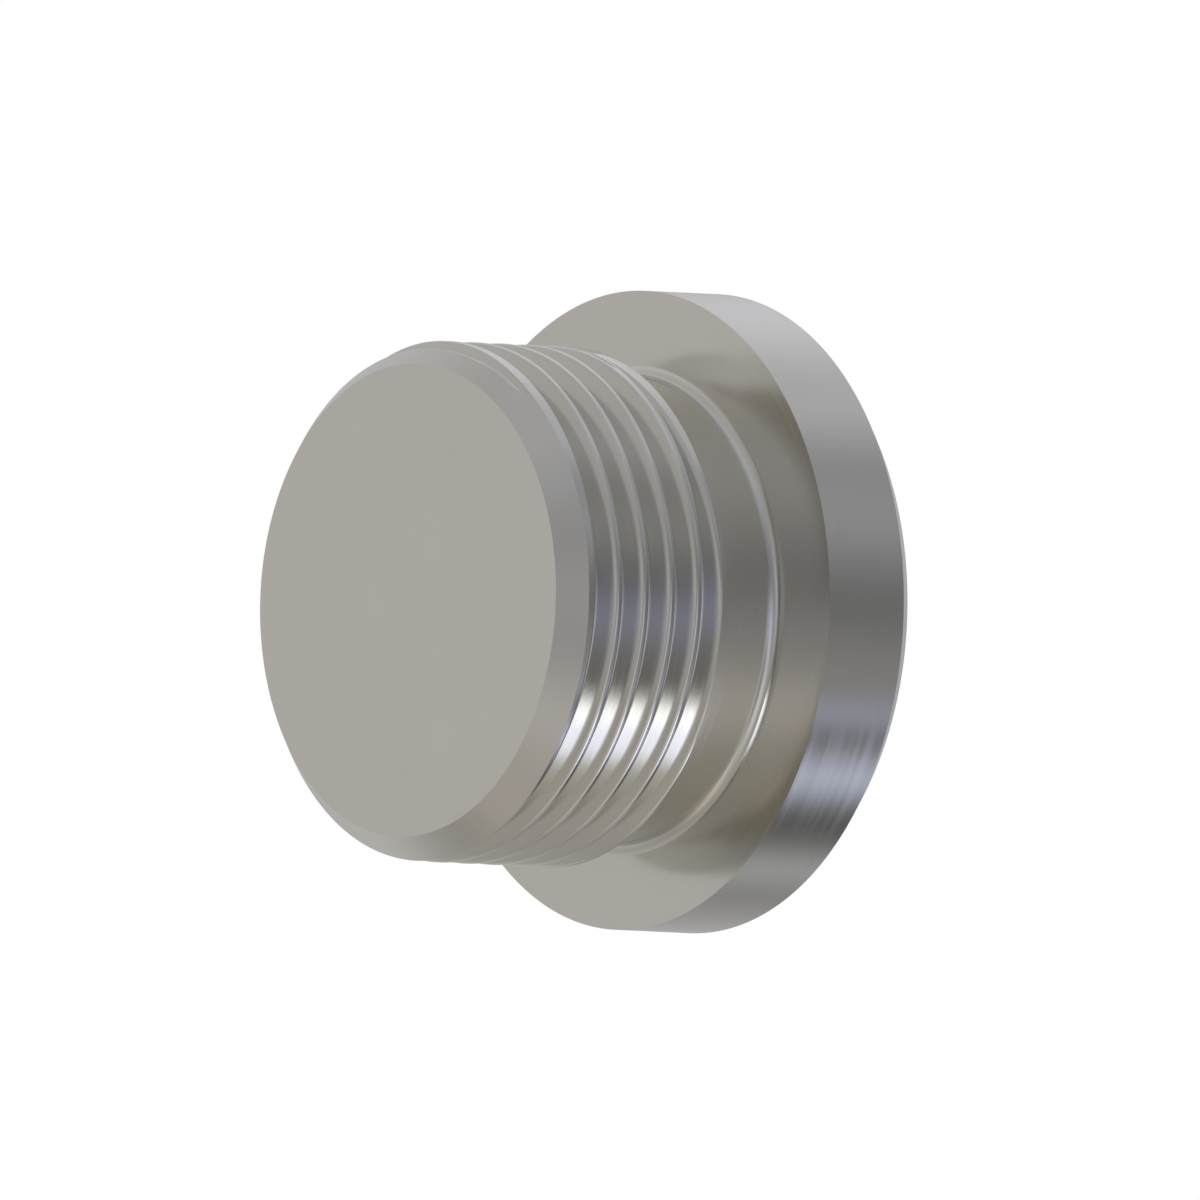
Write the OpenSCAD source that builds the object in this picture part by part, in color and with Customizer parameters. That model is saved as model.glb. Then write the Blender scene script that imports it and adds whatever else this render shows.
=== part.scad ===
// Screwed fitting plug, turned from one bar: a plain collar with a socket in its back face,
// an undercut behind the seating face, and a short threaded stud with a flat, closed end.
// The plug stands on the back of its collar, at the origin, with its thread pointing up.

/* [Collar] */
// Diameter of the collar
collar_d = 27; // [26:0.5:32]
// Height of the collar, from its back face to its seating face
collar_h = 5; // [4:0.5:8]
// Chamfer round the back edge of the collar
collar_chamfer = 1; // [0.2:0.1:1.5]

/* [Stud] */
// Length of the stud, from the seating face to its end
stud_l = 12; // [11:0.5:18]
// Chamfer at the end of the stud
end_chamfer = 1; // [0.8:0.1:1.4]

/* [Thread] */
// Diameter over the crests of the thread
thread_d = 22; // [21.4:0.2:24]
// Distance from one turn of the thread to the next
thread_pitch = 1.43; // [1.2:0.01:1.5]
// Angle between the two flanks of the groove
flank_angle = 60; // [55:1:65]
// Width left flat along the crests
crest_w = 0.27; // [0.18:0.01:0.36]
// Radius along the bottom of the groove
root_r = 0.15; // [0.1:0.01:0.2]
// Angle over which the groove deepens at the end of the stud
run_in = 130; // [90:5:150]
// Angle over which the groove fades out beside the undercut
run_out = 100; // [60:5:120]

/* [Undercut] */
// Depth of the undercut below the crests
neck_depth = 1.15; // [1.05:0.05:1.4]
// Length of the undercut, from the seating face to the first crest
neck_l = 3.8; // [3:0.1:4.5]
// Radius between the undercut and the seating face
neck_fillet = 0.5; // [0.2:0.1:0.8]
// Slope of the undercut's wall at the thread, from square to the axis
neck_slope = 30; // [0:5:40]

/* [Socket] */
// Distance across the flats of the hexagon socket
socket_af = 10; // [8:0.5:12]
// Depth of the socket's flats below the back face
socket_depth = 7.5; // [6:0.5:9]
// Chamfer round the socket's mouth, past its corners
socket_chamfer = 0.3; // [0.1:0.1:1]
// Angle of the drill point at the socket's bottom
drill_point = 120; // [110:2:140]

/* [Hidden] */

$fn = 96;
clear = 0.5;
steps_per_turn = 36;
root_arcs = 2;
fillet_arcs = 5;

crest_r = thread_d / 2;
neck_r = crest_r - neck_depth;

// The groove is a V whose sides meet at half_angle from square, with an arc along its bottom.
half_angle = flank_angle / 2;
groove_h = (thread_pitch - crest_w) / 2 / tan(half_angle) - root_r * (1 / sin(half_angle) - 1);
arc_centre_r = crest_r - groove_h + root_r;

seat_z = collar_h;
thread_z0 = seat_z + neck_l;
top_z = seat_z + stud_l;
thread_z1 = top_z - end_chamfer;

// The groove's centre falls from start_z to end_z while its angle grows: a left-hand thread.
// It starts on the chamfer, past_crests beyond the last crest, and ends short_of_neck before
// the first one. Both are shares of the pitch.
past_crests = 0.3;
short_of_neck = 0.15;
start_angle = -80;
start_z = thread_z1 + thread_pitch * past_crests;
end_z = thread_z0 + thread_pitch * short_of_neck;
groove_angle = 360 * (start_z - end_z) / thread_pitch;
rings = ceil(groove_angle / 360 * steps_per_turn);

socket_corner_r = socket_af / 2 / cos(30);
mouth_r = socket_corner_r + socket_chamfer;
drill_r = socket_af / 2;
drill_h = drill_r / tan(drill_point / 2);

// Half of the turned outline, from the axis at the bottom to the axis at the top
function fillet_points() = [for (i = [0 : fillet_arcs]) let (a = 90 * i / fillet_arcs)
    [neck_r + neck_fillet * (1 - sin(a)), seat_z + neck_fillet * (1 - cos(a))]];

function turned_outline() = concat(
    [
        [0, 0],
        [collar_d / 2 - collar_chamfer, 0],
        [collar_d / 2, collar_chamfer],
        [collar_d / 2, seat_z]
    ],
    fillet_points(),
    [
        [neck_r, thread_z0 - neck_depth * tan(neck_slope)],
        [crest_r, thread_z0],
        [crest_r, thread_z1],
        [crest_r - end_chamfer, top_z],
        [0, top_z]
    ]
);

module turned_blank() {
    rotate_extrude() polygon(turned_outline());
}

// Section of the groove as [radius, height from its centre]: out past the crest on one side,
// round the root, and out past the crest on the other side, lifted by how far it has faded.
function groove_section(lift) = let (
        out_r = crest_r + clear + lift,
        out_w = (thread_pitch - crest_w) / 2 + clear * tan(half_angle)
    ) [
        [out_r, -out_w],
        for (i = [0 : root_arcs]) let (a = (90 - half_angle) * (2 * i / root_arcs - 1))
            [arc_centre_r + lift - root_r * cos(a), root_r * sin(a)],
        [out_r, out_w]
    ];

function smooth(t) = t <= 0 ? 0 : t >= 1 ? 1 : t * t * (3 - 2 * t);
function groove_share(turned) = min(smooth(turned / run_in), smooth((groove_angle - turned) / run_out));

function groove_ring(turned) = let (
        a = start_angle + turned,
        z = start_z - thread_pitch * turned / 360,
        section = groove_section((1 - groove_share(turned)) * groove_h)
    ) [for (q = section) [q[0] * cos(a), q[0] * sin(a), z + q[1]]];

module thread_groove() {
    sides = root_arcs + 3;
    points = [for (k = [0 : rings]) each groove_ring(groove_angle * k / rings)];
    walls = [for (k = [0 : rings - 1], i = [0 : sides - 1]) let (
            a = k * sides + i,
            b = k * sides + (i + 1) % sides,
            c = b + sides,
            d = a + sides
        ) each [[a, c, b], [a, d, c]]];
    caps = [
        for (i = [1 : sides - 2]) [0, i, i + 1],
        for (i = [1 : sides - 2]) [rings * sides, rings * sides + i + 1, rings * sides + i]
    ];
    polyhedron(points = points, faces = concat(walls, caps), convexity = 10);
}

module drive_socket() {
    translate([0, 0, -clear])
        cylinder(r = socket_corner_r, h = socket_depth + clear, $fn = 6);
    translate([0, 0, socket_depth])
        cylinder(r1 = drill_r, r2 = 0, h = drill_h);
    translate([0, 0, -clear])
        cylinder(r1 = mouth_r + clear, r2 = drill_r - clear, h = mouth_r - drill_r + 2 * clear);
}

module plug() {
    color("#a9a69f") difference() {
        turned_blank();
        thread_groove();
        drive_socket();
    }
}

plug();
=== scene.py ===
"""A screwed fitting plug, turned from one steel bar, on a plain white studio floor.

The plug stands on the back of its collar, as the CAD model does, with its thread pointing up.
The camera looks down at it and is rolled, so the picture shows the thread pointing left.
"""

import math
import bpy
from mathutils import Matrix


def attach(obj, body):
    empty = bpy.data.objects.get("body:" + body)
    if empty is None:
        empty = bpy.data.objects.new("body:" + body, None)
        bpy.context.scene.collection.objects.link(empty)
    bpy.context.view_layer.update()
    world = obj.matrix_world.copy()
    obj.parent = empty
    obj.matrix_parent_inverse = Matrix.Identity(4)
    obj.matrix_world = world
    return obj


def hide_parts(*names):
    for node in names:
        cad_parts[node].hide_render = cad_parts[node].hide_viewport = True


bl_info = {
    "name": "Fitting plug",
    "version": (1, 0, 0),
    "blender": (4, 5, 0),
    "location": "3D View > Sidebar > Fitting plug",
    "description": "Makes a turned and threaded fitting plug and the studio it is photographed in",
    "category": "Object",
}

import bpy
import numpy as np
from mathutils import Matrix, Vector

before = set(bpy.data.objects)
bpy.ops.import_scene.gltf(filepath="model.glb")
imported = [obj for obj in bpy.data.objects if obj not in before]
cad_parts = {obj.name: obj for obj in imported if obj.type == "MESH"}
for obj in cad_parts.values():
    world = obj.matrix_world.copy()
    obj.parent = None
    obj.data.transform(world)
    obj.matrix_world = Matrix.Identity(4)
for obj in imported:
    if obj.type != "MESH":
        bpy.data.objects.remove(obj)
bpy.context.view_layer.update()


# ---------------------------------------------------------------- sizes and finishes


def length(name, description, default):
    """A length in metres, shown with its unit."""
    return bpy.props.FloatProperty(
        name=name, description=description, default=default, min=0.0, unit="LENGTH", precision=5
    )


def angle(name, description, degrees):
    """An angle, given in degrees and kept in radians."""
    return bpy.props.FloatProperty(
        name=name, description=description, default=math.radians(degrees), subtype="ANGLE"
    )


class PlugSizes(bpy.types.PropertyGroup):
    """The sizes of the turned and threaded plug."""

    collar_diameter: length("Collar", "Diameter of the collar", 0.027)
    collar_height: length("Collar height", "From the back face to the seating face", 0.005)
    collar_chamfer: length("Back chamfer", "Chamfer round the collar's back edge", 0.001)
    stud_length: length("Stud", "From the seating face to the closed end", 0.012)
    end_chamfer: length("End chamfer", "Chamfer round the closed end", 0.001)
    thread_diameter: length("Thread", "Diameter over the crests", 0.022)
    thread_pitch: length("Pitch", "From one turn of the thread to the next", 0.00143)
    flank_angle: angle("Flank angle", "Angle between the groove's two flanks", 60)
    crest_width: length("Crest width", "Width left flat along the crests", 0.00027)
    root_radius: length("Root radius", "Radius along the groove's bottom", 0.00015)
    thread_edge: length("Thread edge", "How deep the rounding of the crests' edges goes", 0.00015)
    start_angle: angle("Start", "Where round the plug the groove starts", -80)
    start_share: bpy.props.FloatProperty(
        name="Start share",
        description="How far past the last crest the groove starts, in pitches",
        default=0.3,
    )
    end_share: bpy.props.FloatProperty(
        name="End share",
        description="How far before the first crest the groove ends, in pitches",
        default=0.15,
    )
    run_in: angle("Run-in", "Turn over which the groove deepens", 130)
    run_out: angle("Run-out", "Turn over which the groove fades out", 100)
    neck_depth: length("Undercut depth", "Depth of the undercut below the crests", 0.00115)
    neck_length: length("Undercut length", "From the seating face to the first crest", 0.0038)
    neck_fillet: length("Undercut fillet", "Radius between undercut and seating face", 0.0005)
    neck_slope: angle("Undercut slope", "Slope of the undercut's wall at the thread", 30)
    socket_flats: length("Socket", "Across the flats of the hexagon socket", 0.010)
    socket_depth: length("Socket depth", "Depth of the socket's flats", 0.0075)
    socket_chamfer: length("Socket chamfer", "Mouth chamfer past the socket's corners", 0.0003)
    drill_point: angle("Drill point", "Angle of the drilled bottom", 120)
    columns: bpy.props.IntProperty(
        name="Columns",
        description="Steps of the surface once round the plug, in sixes for the socket's corners",
        default=480,
        min=48,
        step=6,
    )


class PlugFinish(bpy.types.PropertyGroup):
    """Colours of the plug's finish, as sRGB hex text."""

    steel: bpy.props.StringProperty(
        name="Steel", description="Colour of the bright turned steel", default="D8D6CF"
    )
    steel_clouded: bpy.props.StringProperty(
        name="Clouded steel", description="Colour where the plating is cloudier", default="D4D2CA"
    )
    steel_roughness: bpy.props.FloatProperty(
        name="Roughness", description="Roughness of the bright turned steel", default=0.16
    )
    roughness_swing: bpy.props.FloatProperty(
        name="Roughness swing", description="How far the rings change the roughness", default=0.03
    )
    ring_spacing: length("Ring spacing", "From one turning ring to the next", 0.00025)
    ring_height: length("Ring height", "Height of the turning rings", 0.00000015)
    ring_drift: bpy.props.FloatProperty(
        name="Ring drift", description="How fast a ring fades in and out on its way", default=0.02
    )
    cloud_size: length("Cloud size", "Width of the clouds in the plating", 0.003)


class StudioSizes(bpy.types.PropertyGroup):
    """The camera's view and the floor."""

    view_width: length("View", "Width of the picture at the plug", 0.050644)
    view_distance: length("Distance", "From the plug to the camera", 0.4)
    floor_width: length("Floor", "Width of the floor", 6.0)
    floor_gap: length("Floor gap", "From the floor up to the plug's back", 0.0001)


# ---------------------------------------------------------------- shared helpers


def rgb(code):
    """A sRGB hex colour as linear red, green, blue and alpha 1."""
    srgb = [int(code[i : i + 2], 16) / 255 for i in (0, 2, 4)]
    return [c / 12.92 if c <= 0.04045 else ((c + 0.055) / 1.055) ** 2.4 for c in srgb] + [1.0]


def add_node(tree, kind, links=(), **settings):
    """Adds a node. A setting that names an input sets it, any other sets the node's own
    property. links holds (input, output socket) pairs."""
    node = tree.nodes.new(kind)
    inputs = {}
    for name, value in settings.items():
        if hasattr(node, name):
            setattr(node, name, value)
        else:
            inputs[name.replace("_", " ")] = value
    for name, value in inputs.items():
        node.inputs[int(name[3:]) if name[:3] == "in " else name].default_value = value
    for name, socket in links:
        tree.links.new(socket, node.inputs[name])
    return node


# ---------------------------------------------------------------- the plug's surface

SEARCHED_HEIGHTS = 41  # tried for the spot where the groove lies deepest
HALVINGS = 40  # steps that close in on each mouth of the groove
ROOT_POINTS = 7  # points across the groove's round bottom
FILLET_POINTS = 9  # points along the undercut's fillet
GRID_PER_METRE = 1e9  # points that fall on the same spot of this grid are one
NOT_ZERO = 1e-12  # keeps the rounding of an edge above nothing, in metres
NO_AREA = 1e-30  # keeps the length of a normal above nothing, in square metres
ASTRAY = math.cos(math.radians(20))  # a normal further off its face gives way to the face's


class PlugForm:
    """The plug's outline and thread as functions of the angle round it and the height.

    The blank is a turned outline. The thread is one V groove with a round bottom, whose
    centre falls by one pitch in each turn while the angle grows, which makes it left-handed.
    The surface is the lower of the two radii at each angle and height.
    """

    def __init__(self, sizes):
        self.crest_r = sizes.thread_diameter / 2
        self.neck_r = self.crest_r - sizes.neck_depth
        self.seat_z = sizes.collar_height
        self.top_z = self.seat_z + sizes.stud_length
        self.crest_z0 = self.seat_z + sizes.neck_length
        self.crest_z1 = self.top_z - sizes.end_chamfer
        self.slope_z = self.crest_z0 - sizes.neck_depth * math.tan(sizes.neck_slope)
        self.end_r = self.crest_r - sizes.end_chamfer
        self.pitch = sizes.thread_pitch
        self.half = sizes.flank_angle / 2
        self.root = sizes.root_radius
        self.edge = min(sizes.thread_edge, sizes.crest_width / 2 / math.tan(self.half))
        half_mouth = (self.pitch - sizes.crest_width) / 2
        self.depth = half_mouth / math.tan(self.half) - self.root * (1 / math.sin(self.half) - 1)
        self.arc_r = self.crest_r - self.depth + self.root
        self.start_z = self.crest_z1 + self.pitch * sizes.start_share
        end_z = self.crest_z0 + self.pitch * sizes.end_share
        self.wind = 2 * math.pi * (self.start_z - end_z) / self.pitch
        self.start = sizes.start_angle % (2 * math.pi)
        self.turns = math.ceil((self.wind + self.start) / (2 * math.pi)) + 1
        self.run_in = sizes.run_in
        self.run_out = sizes.run_out
        self.columns = sizes.columns

    def theta(self, column):
        """Angle round the plug of a whole column."""
        return 2 * np.pi * (column % self.columns) / self.columns

    def wound(self, step):
        """Angle that the groove has wound since its start, after steps of one column."""
        return 2 * np.pi * step / self.columns - self.start

    def share(self, wound):
        """How deep the groove is after the angle wound, from 0 to 1, and how fast that grows.

        It is s^2 (3 - 2 s) on the way in, whose slope is 6 s (1 - s), and s^1.5 (2.5 - 1.5 s)
        on the way out, whose slope is 3.75 s^0.5 (1 - s), and always the lower of the two.
        """
        into = np.clip(wound / self.run_in, 0, 1)
        out = np.clip((self.wind - wound) / self.run_out, 0, 1)
        deepening, fading = into**2 * (3 - 2 * into), out**1.5 * (2.5 - 1.5 * out)
        pace_in = 6 * into * (1 - into) / self.run_in
        pace_out = -3.75 * np.sqrt(out) * (1 - out) / self.run_out
        growing = deepening < fading
        return np.where(growing, deepening, fading), np.where(growing, pace_in, pace_out)

    def centre(self, wound):
        """Height of the groove's centre, and how fast it falls. As the groove fades out its
        upper edge keeps to the helix, so its centre falls more slowly than the helix."""
        share, pace = self.share(wound)
        leaving = wound > self.wind - self.run_out
        width = self.depth * math.tan(self.half)
        height = self.start_z - self.pitch * wound / (2 * math.pi)
        fall = self.pitch / (2 * math.pi)
        return (
            np.where(leaving, height + (1 - share) * width, height),
            np.where(leaving, fall + pace * width, fall),
        )

    def blank(self, z):
        """Radius of the turned stud: undercut, sloping wall, crests, end chamfer."""
        heights = [self.seat_z, self.slope_z, self.crest_z0, self.crest_z1, self.top_z]
        radii = [self.neck_r, self.neck_r, self.crest_r, self.crest_r, self.end_r]
        return np.interp(z, heights, radii)

    def groove(self, height, share):
        """Radius of the groove at a height above its centre, and its slope up the axis: a
        circle's arc at the bottom, and a straight flank past the point where the two touch.
        A groove of less than full depth is lifted out of the metal by the rest."""
        side, height = np.sign(height), np.abs(height)
        touch, rise = self.root * math.cos(self.half), self.root * math.sin(self.half)
        drop = np.sqrt(np.maximum(self.root**2 - height**2, rise**2))
        on_arc = height < touch
        flank = self.arc_r - rise + (height - touch) / math.tan(self.half)
        radius = np.where(on_arc, self.arc_r - drop, flank) + (1 - share) * self.depth
        return radius, side * np.where(on_arc, height / drop, 1 / math.tan(self.half))

    def surface(self, column, z, blank_slope):
        """Radius of the stud at whole columns, and its slopes up the axis and round it.

        It is the lower of the blank and every turn of the groove, with rounded edges between
        them: where two radii a and b are less than k apart, the lower one gives way by
        (k - |a - b|)^2 / 4k. k grows with the groove's depth.
        """
        r, up, turning = self.blank(z), blank_slope + 0 * z, 0 * z
        for turn in range(self.turns):
            wound = self.wound(column + turn * self.columns)
            share, pace = self.share(wound)
            centre, fall = self.centre(wound)
            cut, cut_up = self.groove(z - centre, share)
            cut_turning = cut_up * fall - self.depth * pace
            k = np.maximum(self.edge * share, NOT_ZERO)
            near = np.clip(1 - np.abs(r - cut) / k, 0, 1)
            weight = np.where(cut < r, 1 - near / 2, near / 2)
            weight = np.where((wound >= 0) & (wound <= self.wind), weight, 0)
            r = np.where(weight > 0, np.minimum(r, cut) - near**2 * k / 4, r)
            up = (1 - weight) * up + weight * cut_up
            turning = (1 - weight) * turning + weight * cut_turning
        return r, up, turning

    def mouths(self, wound):
        """Heights over the groove's centre at which it comes out of the blank, the lower and
        the upper. The search starts where the groove lies deepest in the blank, and halves
        its way out to both sides. Where the groove cuts nothing, both are its start."""
        centre, share = self.centre(wound)[0], self.share(wound)[0]

        def depth(height):
            """How far the groove lies under the blank, at a height over its centre."""
            return self.blank(centre + height) - self.groove(height, share)[0]

        tries = np.linspace(-1, 1, SEARCHED_HEIGHTS) * self.root * math.cos(self.half)
        depths = np.stack([depth(height + 0 * wound) for height in tries])
        deepest = tries[np.argmax(depths, axis=0)]
        cuts = (depths.max(axis=0) > 0) & (wound >= 0) & (wound <= self.wind)
        ends = []
        for side in (-1, 1):
            near, far = deepest, deepest + side * self.pitch
            for _ in range(HALVINGS):
                middle = (near + far) / 2
                inside = depth(middle) > 0
                near, far = np.where(inside, middle, near), np.where(inside, far, middle)
            ends.append(np.where(cuts, near, deepest))
        return ends


class Skin:
    """Collects the faces of one closed surface, with the true normal at each corner."""

    def __init__(self):
        self.corners, self.normals = [], []

    def add(self, points, normals):
        """points and normals are (faces, 4, 3) arrays, anticlockwise seen from outside."""
        self.corners.append(points.reshape(-1, 4, 3))
        self.normals.append(normals.reshape(-1, 4, 3))

    def mesh(self, name):
        """Joins equal points, drops the sides and faces that have shrunk to nothing, and
        gives a mesh whose shading follows the true normals."""
        points = np.concatenate(self.corners)
        normals = np.concatenate(self.normals)
        keys = np.round(points.reshape(-1, 3) * GRID_PER_METRE).astype(np.int64)
        _, first, index = np.unique(keys, axis=0, return_index=True, return_inverse=True)
        index = index.reshape(-1, 4)
        kept = index != np.roll(index, -1, axis=1)
        sides = kept.sum(axis=1)
        faces = (sides > 2) & (index[:, 0] != index[:, 2]) & (index[:, 1] != index[:, 3])
        kept &= faces[:, None]
        sides = sides[faces]
        mesh = bpy.data.meshes.new(name)
        mesh.vertices.add(len(first))
        mesh.vertices.foreach_set("co", points.reshape(-1, 3)[first].ravel())
        mesh.loops.add(int(sides.sum()))
        mesh.loops.foreach_set("vertex_index", index[kept].astype(np.int32))
        mesh.polygons.add(len(sides))
        mesh.polygons.foreach_set("loop_start", (np.cumsum(sides) - sides).astype(np.int32))
        mesh.polygons.foreach_set("loop_total", sides.astype(np.int32))
        mesh.update(calc_edges=True)
        mesh.shade_smooth()
        mesh.normals_split_custom_set(normals[kept])
        return mesh


def around(radius, theta, z):
    """Points from radius, angle and height."""
    return np.stack([radius * np.cos(theta), radius * np.sin(theta), z + 0 * theta], axis=-1)


def turned_wall(skin, form, outline, slopes):
    """A turned surface: each length of the outline carried once round the axis.

    outline is a list of (radius, height, radius, height) and keeps the metal on its left hand.
    slopes has the (radial, axial) normals of each length at its two ends. Radii and heights
    may be one value or one for each column.
    """
    step = np.arange(form.columns)
    theta, after = form.theta(step), form.theta(step + 1)
    for ends, (first, last) in zip(outline, slopes):
        here = [np.broadcast_to(np.asarray(value, float), len(step)) for value in ends]
        there = [np.roll(values, -1) for values in here]
        points = [
            around(here[0], theta, here[1]),
            around(there[0], after, there[1]),
            around(there[2], after, there[3]),
            around(here[2], theta, here[3]),
        ]
        normals = [
            around(first[0], theta, first[1]),
            around(first[0], after, first[1]),
            around(last[0], after, last[1]),
            around(last[0], theta, last[1]),
        ]
        skin.add(np.stack(points, axis=1), np.stack(normals, axis=1))


def threaded_wall(skin, form, low, high):
    """The threaded surface between two heights.

    Rows of points follow each turn of the groove down the stud: over the rounded edge of its
    upper mouth, its round bottom and the rounded edge of its lower mouth. They are held
    between low and high, so rows that lie outside shrink onto the border. Radius and normal
    of each point are the form's own: with slopes u up the axis and t round it, the normal
    is (1, -t / r, -u) along the radius, round the axis and up it.
    """
    column = np.arange(form.columns + 1)
    step = column[:, None] + np.arange(-1, form.turns) * form.columns
    wound = form.wound(step)
    lower, upper = form.mouths(wound)
    outside = form.edge * math.tan(form.half) * form.share(wound)[0]
    inside = np.minimum(outside, (upper - lower) / 2)
    bottom = form.root * np.sin(np.linspace(1, -1, ROOT_POINTS) * (np.pi / 2 - form.half))
    rows = [upper + outside, upper + outside / 2, upper, upper - inside / 2, upper - inside]
    rows += [np.clip(height, lower + inside, upper - inside) for height in bottom]
    rows += [lower + inside, lower + inside / 2, lower, lower - outside / 2, lower - outside]
    z = form.centre(wound)[0][:, :, None] + np.stack(rows, axis=-1)
    z = np.clip(z.reshape(len(column), -1), low, high)
    z = np.pad(z, ((0, 0), (1, 1)), constant_values=((0, 0), (high, low)))
    theta = form.theta(column)[:, None] + 0 * z
    blank_slope = (form.blank(high) - form.blank(low)) / (high - low)
    r, up, turning = form.surface(column[:, None] % form.columns, z, blank_slope)
    spots = around(r, theta, z)
    sideways = np.stack([-np.sin(theta), np.cos(theta), 0 * z], axis=-1)
    normals = around(1, theta, -up) - (turning / r)[:, :, None] * sideways
    normals /= np.linalg.norm(normals, axis=-1, keepdims=True)
    this, following = slice(None, -1), slice(1, None)
    corners = [(this, this), (this, following), (following, following), (following, this)]
    faces = np.stack([spots[at] for at in corners], axis=-2)
    normals = np.stack([normals[at] for at in corners], axis=-2)

    # Where a face is too coarse for the form under it, its own normal takes over.
    across = np.cross(faces[:, :, 2] - faces[:, :, 0], faces[:, :, 3] - faces[:, :, 1])
    across /= np.maximum(np.linalg.norm(across, axis=-1, keepdims=True), NO_AREA)
    across = across[:, :, None, :] + 0 * normals
    astray = (normals * across).sum(axis=-1, keepdims=True) < ASTRAY
    skin.add(faces, np.where(astray, across, normals))


def plug_mesh(sizes):
    """The whole plug as one closed surface."""
    form = PlugForm(sizes)
    skin = Skin()
    n = form.columns
    rim_r = sizes.collar_diameter / 2
    low_z = sizes.collar_chamfer
    seat_z = form.seat_z
    corner = math.sqrt(0.5)  # both parts of the normal of a 45 degree chamfer

    fillet = np.linspace(0, np.pi / 2, FILLET_POINTS)
    fillet_r = form.neck_r + sizes.neck_fillet * (1 - np.sin(fillet))
    fillet_z = seat_z + sizes.neck_fillet * (1 - np.cos(fillet))
    outline = [
        (rim_r - low_z, 0, rim_r, low_z),
        (rim_r, low_z, rim_r, seat_z),
        (rim_r, seat_z, fillet_r[0], seat_z),
    ]
    slopes = [((corner, -corner),) * 2, ((1, 0),) * 2, ((0, 1),) * 2]
    fillet_slopes = list(zip(np.sin(fillet), np.cos(fillet)))
    for k in range(FILLET_POINTS - 1):
        outline.append((fillet_r[k], fillet_z[k], fillet_r[k + 1], fillet_z[k + 1]))
        slopes.append((fillet_slopes[k], fillet_slopes[k + 1]))
    outline.append((form.neck_r, fillet_z[-1], form.neck_r, form.slope_z))
    slopes.append(((1, 0),) * 2)
    turned_wall(skin, form, outline, slopes)

    for low, high in (
        (form.slope_z, form.crest_z0),
        (form.crest_z0, form.crest_z1),
        (form.crest_z1, form.top_z),
    ):
        threaded_wall(skin, form, low, high)
    column = np.arange(n)
    end_r = form.surface(column, np.full(n, form.top_z), 0)[0]
    turned_wall(skin, form, [(end_r, form.top_z, 0, form.top_z)], [((0, 1),) * 2])

    # The back: a flat ring, the mouth's cone, six flats, a floor and the drill's cone. The
    # flats are at half the size across flats over the cosine of the angle from their middle.
    theta, after = form.theta(column), form.theta(column + 1)
    flat_angle = (theta % (np.pi / 3)) - np.pi / 6
    flat_r = sizes.socket_flats / 2 / np.cos(flat_angle)
    mouth_r = sizes.socket_flats / 2 / math.cos(math.pi / 6) + sizes.socket_chamfer
    mouth_z = mouth_r - flat_r
    drill_r = sizes.socket_flats / 2
    drill_z = sizes.socket_depth + drill_r / math.tan(sizes.drill_point / 2)
    point = sizes.drill_point / 2
    back = [
        (mouth_r, 0, rim_r - low_z, 0),
        (flat_r, mouth_z, mouth_r, 0),
        (drill_r, sizes.socket_depth, flat_r, sizes.socket_depth),
        (0, drill_z, drill_r, sizes.socket_depth),
    ]
    back_slopes = [
        ((0, -1),) * 2,
        ((-corner, -corner),) * 2,
        ((0, -1),) * 2,
        ((-math.cos(point), -math.sin(point)),) * 2,
    ]
    turned_wall(skin, form, back, back_slopes)
    next_r, next_z = np.roll(flat_r, -1), np.roll(mouth_z, -1)
    walls = np.stack(
        [
            around(flat_r, theta, sizes.socket_depth + 0 * theta),
            around(next_r, after, sizes.socket_depth + 0 * theta),
            around(next_r, after, next_z),
            around(flat_r, theta, mouth_z),
        ],
        axis=1,
    )
    middle = (np.floor((column + 0.5) * 6 / n) + 0.5) * np.pi / 3
    inward = np.stack([-np.cos(middle), -np.sin(middle), 0 * middle], axis=-1)
    skin.add(walls, np.repeat(inward[:, None, :], 4, axis=1))
    return skin.mesh("turned_plug")


# ---------------------------------------------------------------- materials


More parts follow.
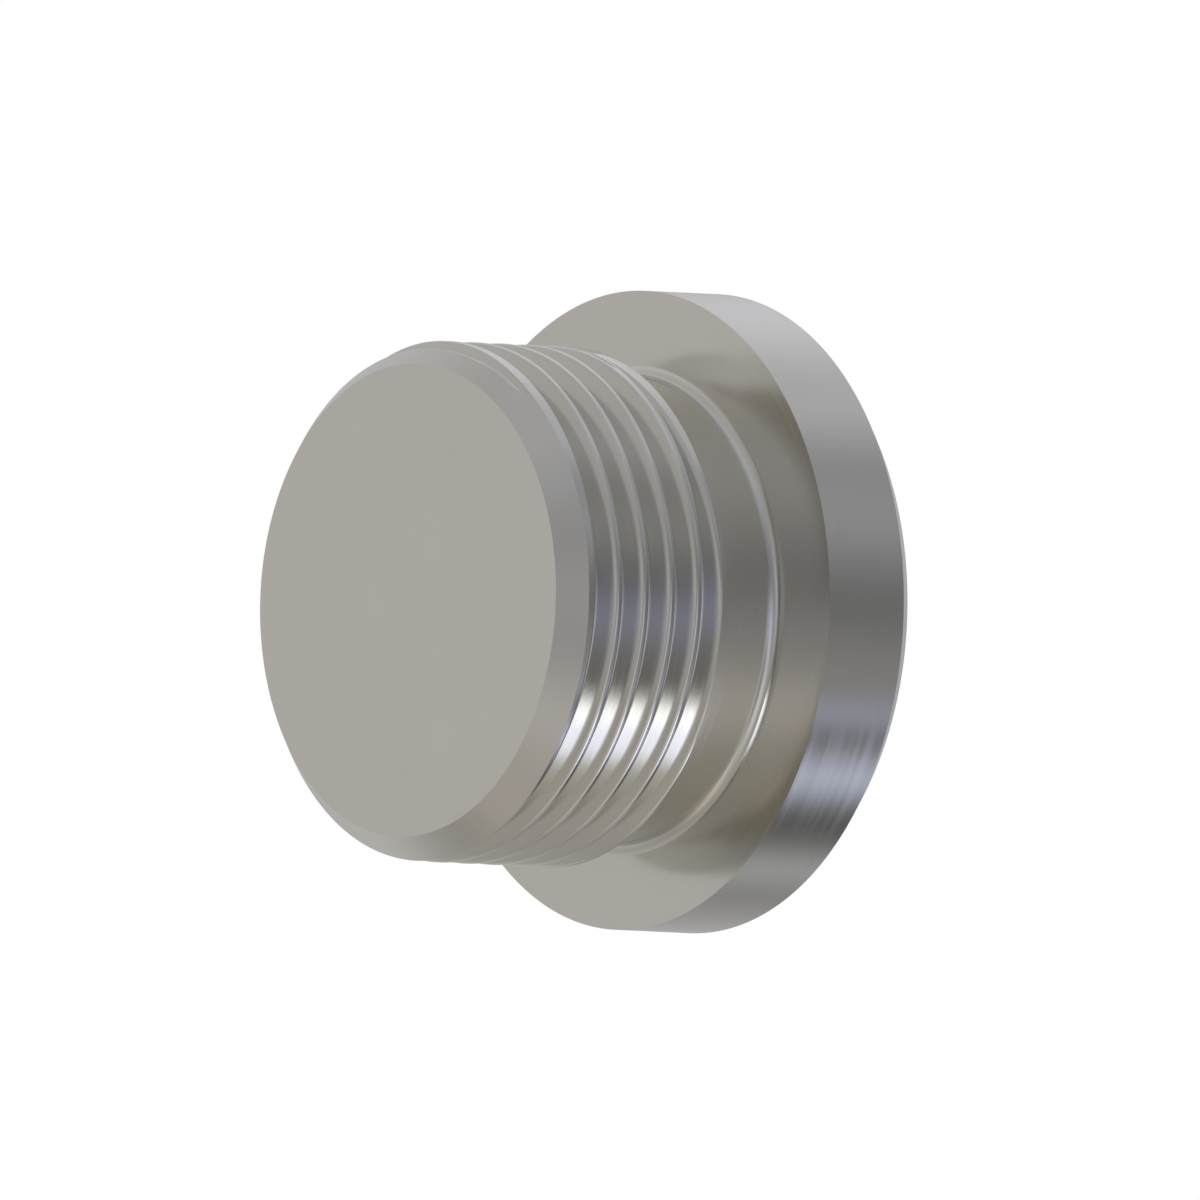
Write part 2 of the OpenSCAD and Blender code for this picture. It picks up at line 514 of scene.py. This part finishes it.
def bright_turned_steel(finish):
    """Bright turned steel with a clear plating. Turning leaves fine rings round the axis, and
    plating softens them, so the eye sees a near mirror with faint streaks along the turning.

    The rings are noise over (distance from the axis, height), which is the same all the way
    round, with a little of the place itself added, so that each ring fades in and out. The
    lathe's real feed of about 0.1 mm is finer than a picture of the whole plug can show, so
    the rings are drawn further apart. Plating clouds the colour by a few parts in a hundred.
    """
    material = bpy.data.materials.new("Bright turned steel")
    material.use_nodes = True
    tree = material.node_tree
    shader = tree.nodes["Principled BSDF"]
    place = add_node(tree, "ShaderNodeTexCoord").outputs["Object"]
    flat = add_node(
        tree, "ShaderNodeVectorMath", operation="MULTIPLY", in_1=(1, 1, 0), links=[(0, place)]
    ).outputs[0]
    from_axis = add_node(tree, "ShaderNodeVectorMath", operation="LENGTH", links=[(0, flat)])
    height = add_node(tree, "ShaderNodeSeparateXYZ", links=[(0, place)]).outputs["Z"]
    section = add_node(
        tree, "ShaderNodeCombineXYZ", links=[("X", from_axis.outputs["Value"]), ("Y", height)]
    ).outputs[0]
    ring_place = add_node(
        tree,
        "ShaderNodeVectorMath",
        operation="MULTIPLY_ADD",
        in_1=(finish.ring_drift,) * 3,
        links=[(0, place), (2, section)],
    ).outputs[0]
    rings = add_node(
        tree,
        "ShaderNodeTexNoise",
        Scale=1 / finish.ring_spacing,
        Detail=1.0,
        links=[("Vector", ring_place)],
    ).outputs[0]
    clouds = add_node(
        tree,
        "ShaderNodeTexNoise",
        Scale=1 / finish.cloud_size,
        Detail=2.0,
        links=[("Vector", place)],
    ).outputs[0]
    # Most of the noise lies between 0.3 and 0.7.
    roughness = add_node(
        tree,
        "ShaderNodeMapRange",
        From_Min=0.3,
        From_Max=0.7,
        To_Min=finish.steel_roughness - finish.roughness_swing,
        To_Max=finish.steel_roughness + finish.roughness_swing,
        links=[("Value", rings)],
    ).outputs[0]
    colour = add_node(
        tree,
        "ShaderNodeMix",
        data_type="RGBA",
        in_6=rgb(finish.steel_clouded),
        in_7=rgb(finish.steel),
        links=[(0, clouds)],
    ).outputs[2]
    relief = add_node(
        tree,
        "ShaderNodeBump",
        Strength=1.0,
        Distance=finish.ring_height,
        links=[("Height", rings)],
    ).outputs[0]
    shader.inputs["Metallic"].default_value = 1.0
    tree.links.new(colour, shader.inputs["Base Color"])
    tree.links.new(roughness, shader.inputs["Roughness"])
    tree.links.new(relief, shader.inputs["Normal"])
    return material


# ---------------------------------------------------------------- operators


class OBJECT_OT_fitting_plug(bpy.types.Operator):
    """Make the turned and threaded plug"""

    bl_idname = "object.fitting_plug"
    bl_label = "Fitting plug"

    def execute(self, context):
        scene = context.scene
        mesh = plug_mesh(scene.plug_sizes)
        mesh.materials.append(bright_turned_steel(scene.plug_finish))
        piece = bpy.data.objects.new("turned_plug", mesh)
        scene.collection.objects.link(piece)
        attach(piece, "root")
        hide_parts("plug")
        return {"FINISHED"}


class OBJECT_OT_studio(bpy.types.Operator):
    """Make the floor, the soft studio light and the camera"""

    bl_idname = "object.fitting_plug_studio"
    bl_label = "Studio"

    def execute(self, context):
        scene = context.scene
        studio = scene.plug_studio
        make_camera(scene, studio)
        make_floor(scene, studio)
        make_world(scene)
        scene.view_settings.view_transform = "Standard"
        return {"FINISHED"}


# The camera's own right and back, and the seating face's centre in a picture of this size
CAMERA_RIGHT = (0.02807, -0.62377, -0.78110)
CAMERA_BACK = (-0.02240, -0.78161, 0.62337)
PICTURE = 1200
SEAT_ACROSS, SEAT_DOWN = 630.08, 610.28


def make_camera(scene, studio):
    """An orthographic camera, as in the photograph, rolled so that the thread points left."""
    camera = bpy.data.cameras.new("camera")
    camera.type = "ORTHO"
    camera.ortho_scale = studio.view_width
    right = Vector(CAMERA_RIGHT).normalized()
    back = Vector(CAMERA_BACK).normalized()
    up = back.cross(right)
    seat = Vector((0, 0, scene.plug_sizes.collar_height))
    pixel = studio.view_width / PICTURE
    middle = PICTURE / 2
    target = seat - right * (SEAT_ACROSS - middle) * pixel + up * (SEAT_DOWN - middle) * pixel
    place = Matrix((right, up, back)).transposed().to_4x4()
    place.translation = target + back * studio.view_distance
    holder = bpy.data.objects.new("camera", camera)
    holder.matrix_world = place
    scene.collection.objects.link(holder)
    scene.camera = holder


def make_floor(scene, studio):
    """A plain white floor that the metal doesn't mirror. From below it is clear, so that the
    plug's back can be looked at. It lies a hair under the plug, which keeps the two apart."""
    half, z = studio.floor_width / 2, -studio.floor_gap
    mesh = bpy.data.meshes.new("floor")
    corners = [(-half, -half, z), (half, -half, z), (half, half, z), (-half, half, z)]
    mesh.from_pydata(corners, [], [(0, 1, 2, 3)])
    floor = bpy.data.objects.new("floor", mesh)
    scene.collection.objects.link(floor)
    material = bpy.data.materials.new("White paper sweep")
    material.use_nodes = True
    tree = material.node_tree
    tree.nodes.clear()
    glow = add_node(tree, "ShaderNodeEmission", Color=(1, 1, 1, 1), Strength=1.0).outputs[0]
    clear = add_node(tree, "ShaderNodeBsdfTransparent").outputs[0]
    from_below = add_node(tree, "ShaderNodeNewGeometry").outputs["Backfacing"]
    either = add_node(tree, "ShaderNodeMixShader", links=[(0, from_below), (1, glow), (2, clear)])
    add_node(tree, "ShaderNodeOutputMaterial", links=[("Surface", either.outputs[0])])
    mesh.materials.append(material)
    floor.visible_glossy = False
    floor.visible_diffuse = False


# Light panels round the plug. Each has the azimuth and elevation of its middle, half its
# width, all in degrees, how firm its edge is (1 fades out softly, 3 ends within a few
# degrees), its colour and its strength.
PANELS = {
    "window": (212.8, -21.4, 15.0, 3, "D8DFFF", 2.48),
    "window's bright pane": (224.0, -20.0, 6.0, 1, "FEFFF6", 2.02),
    "window's near corner": (234.0, -32.0, 6.0, 1, "BFCAFF", 0.80),
    "glow beside the window": (197.7, -9.2, 18.0, 1, "FEFFF9", 0.64),
    "spot under the window": (205.0, -36.6, 7.0, 1, "D7E0FF", 0.41),
    "wall over the window": (225.9, 23.7, 23.9, 1, "F8F8FF", 0.67),
    "sky strip": (267.0, -10.2, 13.2, 1, "BCC6FF", 0.76),
    "wall over the strip": (262.6, 17.2, 18.0, 1, "E3E7FF", 0.60),
    "ceiling over the strip": (275.0, 62.4, 18.0, 1, "F9FAFF", 0.26),
    "ceiling": (76.8, 51.7, 59.6, 1, "FFFCF5", 0.504),
    "ceiling lamp": (72.6, 28.5, 18.0, 1, "DFE1FF", 0.157),
    "warm ceiling": (188.2, 43.4, 34.1, 1, "FFF7ED", 0.23),
    "warm wall": (177.6, 11.8, 18.0, 1, "FFF2E9", 0.38),
    "white table": (39.7, -35.3, 46.7, 1, "F5F5FF", 0.74),
    "table's far end": (127.1, -13.0, 35.3, 1, "FDFEFF", 0.43),
    "card by the far end": (166.0, -32.0, 10.9, 1, "F1F4FF", 0.43),
    "side wall": (331.8, 18.2, 43.5, 1, "EDF0FF", 0.44),
    "side card": (345.2, -26.4, 13.5, 1, "F2F7FF", 0.35),
    "table's near end": (302.5, -28.3, 19.9, 1, "F4F8FF", 0.32),
    "table under the strip": (247.2, -31.9, 20.9, 1, "FFFFFD", 0.28),
}


def make_world(scene):
    """A dark room with soft light panels, which the metal mirrors. The camera sees it white.

    A panel's light in a direction is its colour times exp(-(k (1 - cos a)) ^ edge), where a
    is the angle to the panel's middle and k (1 - cos a) is 1 where a is half its width.
    """
    world = bpy.data.worlds.new("Soft studio")
    scene.world = world
    world.use_nodes = True
    tree = world.node_tree
    tree.nodes.clear()

    def sum_of(operation, value, **numbers):
        """The result of one sum on a value."""
        node = add_node(
            tree, "ShaderNodeMath", operation=operation, links=[(0, value)], **numbers
        )
        return node.outputs[0]

    toward = add_node(tree, "ShaderNodeTexCoord").outputs["Generated"]
    light = add_node(tree, "ShaderNodeCombineXYZ").outputs[0]
    for azimuth, elevation, half_width, edge, colour, strength in PANELS.values():
        turn, rise = math.radians(azimuth), math.radians(elevation)
        flat = math.cos(rise)
        middle = (flat * math.cos(turn), flat * math.sin(turn), math.sin(rise))
        k = 1 / (1 - math.cos(math.radians(half_width)))
        cosine = add_node(
            tree, "ShaderNodeVectorMath", operation="DOT_PRODUCT", in_1=middle, links=[(0, toward)]
        ).outputs["Value"]
        off = sum_of("MULTIPLY_ADD", cosine, in_1=-k, in_2=k)
        firm = sum_of("POWER", off, in_1=edge)
        share = sum_of("EXPONENT", sum_of("MULTIPLY", firm, in_1=-1))
        light = add_node(
            tree,
            "ShaderNodeVectorMath",
            operation="MULTIPLY_ADD",
            in_1=[strength * c for c in rgb(colour)[:3]],
            links=[(0, share), (2, light)],
        ).outputs[0]
    room = add_node(tree, "ShaderNodeBackground", links=[("Color", light)]).outputs[0]
    white = add_node(tree, "ShaderNodeBackground", Color=(1, 1, 1, 1)).outputs[0]
    seen = add_node(tree, "ShaderNodeLightPath").outputs["Is Camera Ray"]
    both = add_node(tree, "ShaderNodeMixShader", links=[(0, seen), (1, room), (2, white)])
    add_node(tree, "ShaderNodeOutputWorld", links=[("Surface", both.outputs[0])])


class VIEW3D_PT_fitting_plug(bpy.types.Panel):
    """Lists the plug's sizes and the operators that make it"""

    bl_label = "Fitting plug"
    bl_space_type = "VIEW_3D"
    bl_region_type = "UI"
    bl_category = "Fitting plug"

    def draw(self, context):
        layout = self.layout
        for group_name in GROUPS:
            group = getattr(context.scene, group_name)
            box = layout.box()
            for name in group.__annotations__:
                box.prop(group, name)
        for operator in (OBJECT_OT_fitting_plug, OBJECT_OT_studio):
            layout.operator(operator.bl_idname)


GROUPS = {"plug_sizes": PlugSizes, "plug_finish": PlugFinish, "plug_studio": StudioSizes}
CLASSES = (*GROUPS.values(), OBJECT_OT_fitting_plug, OBJECT_OT_studio, VIEW3D_PT_fitting_plug)


def register():
    for cls in CLASSES:
        bpy.utils.register_class(cls)
    for name, group in GROUPS.items():
        setattr(bpy.types.Scene, name, bpy.props.PointerProperty(type=group))


def unregister():
    for name in GROUPS:
        delattr(bpy.types.Scene, name)
    for cls in reversed(CLASSES):
        bpy.utils.unregister_class(cls)


def main():
    """Makes the plug and its studio."""
    register()
    bpy.ops.object.fitting_plug()
    bpy.ops.object.fitting_plug_studio()


if __name__ == "__main__":
    main()
